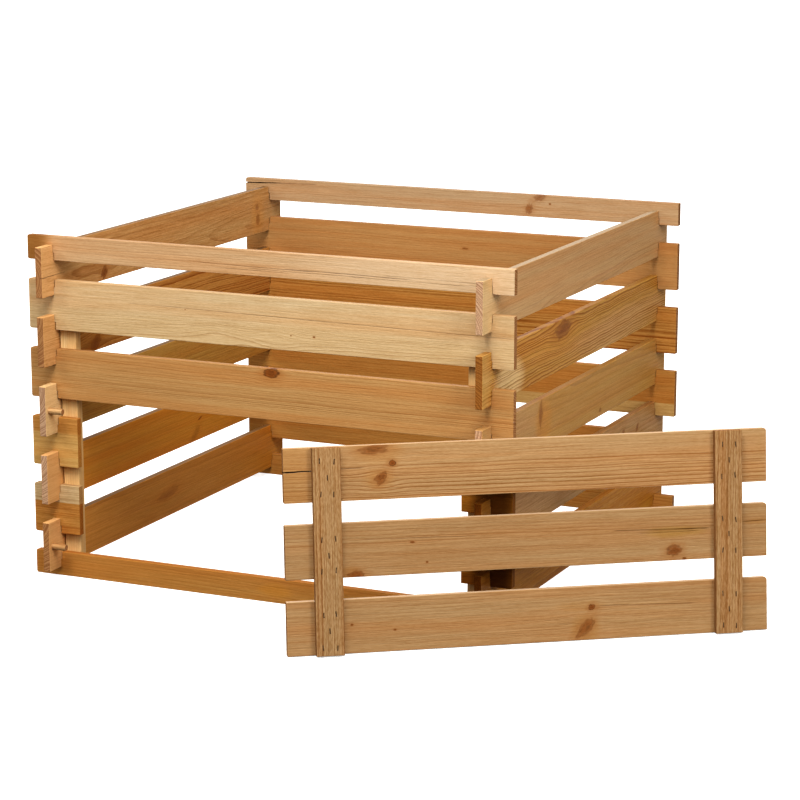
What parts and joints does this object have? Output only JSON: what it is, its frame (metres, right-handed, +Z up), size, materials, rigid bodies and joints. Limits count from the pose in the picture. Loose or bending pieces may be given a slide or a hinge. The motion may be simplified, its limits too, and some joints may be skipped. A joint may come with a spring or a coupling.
{
  "type": "wooden composter",
  "caption": "Open-topped slatted compost bin of notched pine boards stacked like a log cabin, with a lift-out front panel set aside against one front corner.",
  "frame": {"origin": "middle of the front bottom board's underside, on the ground, midway along the board and at the middle of its thickness", "axes": "+Z up, +X to the right seen from the front, +Y from the front wall towards the back wall; the front opening faces -Y"},
  "size_m": [1.4137, 1.2493, 0.667],
  "materials": {
    "pine_honey": "satin",
    "pine_pale": "satin",
    "pine_russet": "satin",
    "pine_grey": "satin",
    "pine_batten": "satin",
    "dowel": "satin",
    "screw_steel": "satin",
    "staple_steel": "satin"
  },
  "bodies": {
    "bin": {"front_board_1": "pine_honey", "front_board_2": "pine_pale", "front_board_3": "pine_honey", "front_stub_upper_left": "pine_honey", "front_stub_upper_right": "pine_honey", "front_stub_lower_left": "pine_russet", "front_stub_lower_right": "pine_russet", "front_bottom_board": "pine_honey", "back_board_1": "pine_pale", "back_board_2": "pine_honey", "back_board_3": "pine_russet", "back_board_4": "pine_honey", "back_board_5": "pine_honey", "back_bottom_board": "pine_honey", "left_board_1": "pine_honey", "left_board_2": "pine_honey", "left_board_3": "pine_honey", "left_board_4": "pine_russet", "left_board_5": "pine_russet", "right_board_1": "pine_grey", "right_board_2": "pine_pale", "right_board_3": "pine_honey", "right_board_4": "pine_honey", "right_board_5": "pine_honey", "corner_batten_left": "pine_batten", "corner_batten_right": "pine_batten", "corner_screws": "screw_steel", "peg_upper_left": "dowel", "peg_upper_right": "dowel", "peg_lower_left": "dowel", "peg_lower_right": "dowel"},
    "front_panel": {"panel_board_top": "pine_honey", "panel_board_middle": "pine_honey", "panel_board_bottom": "pine_honey", "panel_batten_left": "pine_grey", "panel_batten_right": "pine_grey", "panel_staples": "staple_steel"}
  },
  "joints": [
    {"name": "panel_lift", "type": "slide", "parent": "bin", "child": "front_panel", "axis": [0, 0, 1], "range_m": [0, 0.35]}
  ]
}
